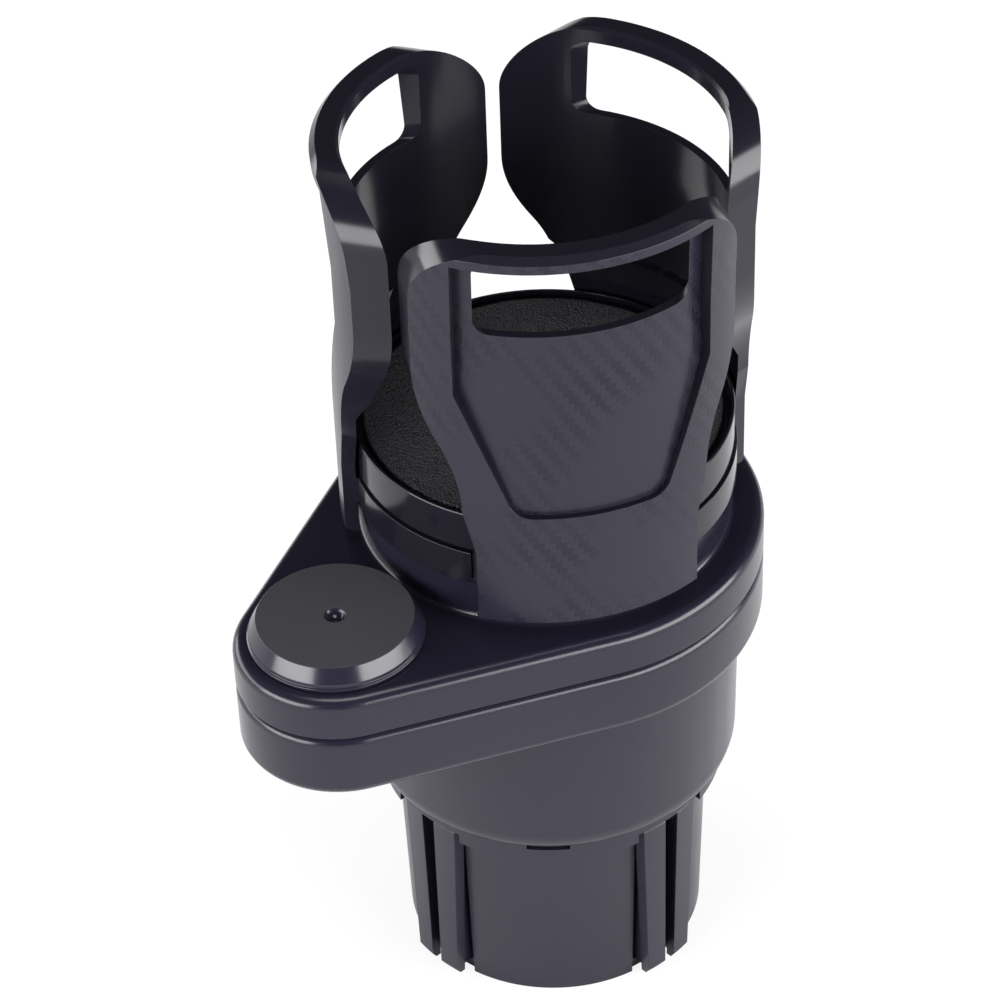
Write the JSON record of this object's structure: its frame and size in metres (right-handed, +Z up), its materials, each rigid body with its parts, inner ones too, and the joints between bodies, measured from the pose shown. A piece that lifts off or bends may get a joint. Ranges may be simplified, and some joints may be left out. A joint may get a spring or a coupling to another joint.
{
  "type": "car cup holder",
  "caption": "Plug-in car cup holder: expanding plug with a deep well, and a swivelling upper tray with a turning dial that spreads three tall cup arms.",
  "frame": {"origin": "centre of the plug's flat foot, on the axis of the well", "axes": "+Z up along the well's axis, from the plug towards the arms; the tray's pivot lies on -X"},
  "size_m": [0.1244, 0.091, 0.204],
  "materials": {
    "shell_plastic": "moulded ABS, fine satin texture",
    "gloss_plastic": "moulded ABS, polished mould",
    "cap_plastic": "moulded ABS, dull spark-eroded texture",
    "mat_rubber": "granular moulded rubber",
    "steel": "zinc plated",
    "acetal": "natural acetal"
  },
  "bodies": {
    "base": {"base_housing": "shell_plastic", "base_plug": "shell_plastic", "base_bottom_cover": "shell_plastic", "bottom_cover_screws": "steel", "base_deck": "shell_plastic", "deck_screws": "steel", "friction_washer": "acetal", "retaining_washer": "steel", "pivot_screw": "steel"},
    "jaw_dial": {"jaw_dial": "shell_plastic", "jaw_scroll": "shell_plastic", "jaw_dial_screw": "steel"},
    "jaw_right": {"jaw_right": "shell_plastic"},
    "jaw_rear": {"jaw_rear": "shell_plastic"},
    "jaw_pivot_side": {"jaw_pivot_side": "shell_plastic"},
    "jaw_front": {"jaw_front": "shell_plastic"},
    "tray": {"swivel_tray": "shell_plastic", "tray_bottom_plate": "shell_plastic", "tray_plate_screws": "steel", "pivot_bush": "acetal", "pivot_cap": "cap_plastic", "cradle_ring": "gloss_plastic", "cradle_ring_screws": "steel", "dial_washer": "steel", "dial_screw": "steel"},
    "cup_dial": {"cradle_dial": "gloss_plastic", "cradle_scroll": "gloss_plastic", "scroll_screws": "steel", "cup_mat": "mat_rubber"},
    "arm_right": {"arm_right": "gloss_plastic"},
    "arm_rear": {"arm_rear": "gloss_plastic"},
    "arm_front": {"arm_front": "gloss_plastic"}
  },
  "joints": [
    {"name": "tray_swivel", "type": "hinge", "parent": "base", "child": "tray", "pos_m": [-0.058, 0, 0.1015], "axis": [0, 0, 1], "continuous": true},
    {"name": "cup_dial_turn", "type": "hinge", "parent": "tray", "child": "cup_dial", "pos_m": [0, 0, 0.1293], "axis": [0, 0, 1], "range_deg": [0, 95]},
    {"name": "arm_right_slide", "type": "slide", "parent": "tray", "child": "arm_right", "axis": [1, 0, 0], "range_m": [0, 0.01]},
    {"name": "arm_rear_slide", "type": "slide", "parent": "tray", "child": "arm_rear", "axis": [-0.5, 0.866, 0], "range_m": [0, 0.01]},
    {"name": "arm_front_slide", "type": "slide", "parent": "tray", "child": "arm_front", "axis": [-0.5, -0.866, 0], "range_m": [0, 0.01]},
    {"name": "jaw_dial_turn", "type": "hinge", "parent": "base", "child": "jaw_dial", "pos_m": [0, 0, 0.05], "axis": [0, 0, 1], "range_deg": [0, 101]},
    {"name": "jaw_right_slide", "type": "slide", "parent": "base", "child": "jaw_right", "axis": [1, 0, 0], "range_m": [0, 0.008]},
    {"name": "jaw_rear_slide", "type": "slide", "parent": "base", "child": "jaw_rear", "axis": [0, 1, 0], "range_m": [0, 0.008]},
    {"name": "jaw_pivot_side_slide", "type": "slide", "parent": "base", "child": "jaw_pivot_side", "axis": [-1, 0, 0], "range_m": [0, 0.008]},
    {"name": "jaw_front_slide", "type": "slide", "parent": "base", "child": "jaw_front", "axis": [0, -1, 0], "range_m": [0, 0.008]}
  ],
  "couplings": [
    {"joint": "arm_right_slide", "follows": "cup_dial_turn", "m_per_rad": 0.006001},
    {"joint": "arm_rear_slide", "follows": "cup_dial_turn", "m_per_rad": 0.006001},
    {"joint": "arm_front_slide", "follows": "cup_dial_turn", "m_per_rad": 0.006001},
    {"joint": "jaw_right_slide", "follows": "jaw_dial_turn", "m_per_rad": 0.0045},
    {"joint": "jaw_rear_slide", "follows": "jaw_dial_turn", "m_per_rad": 0.0045},
    {"joint": "jaw_pivot_side_slide", "follows": "jaw_dial_turn", "m_per_rad": 0.0045},
    {"joint": "jaw_front_slide", "follows": "jaw_dial_turn", "m_per_rad": 0.0045}
  ]
}
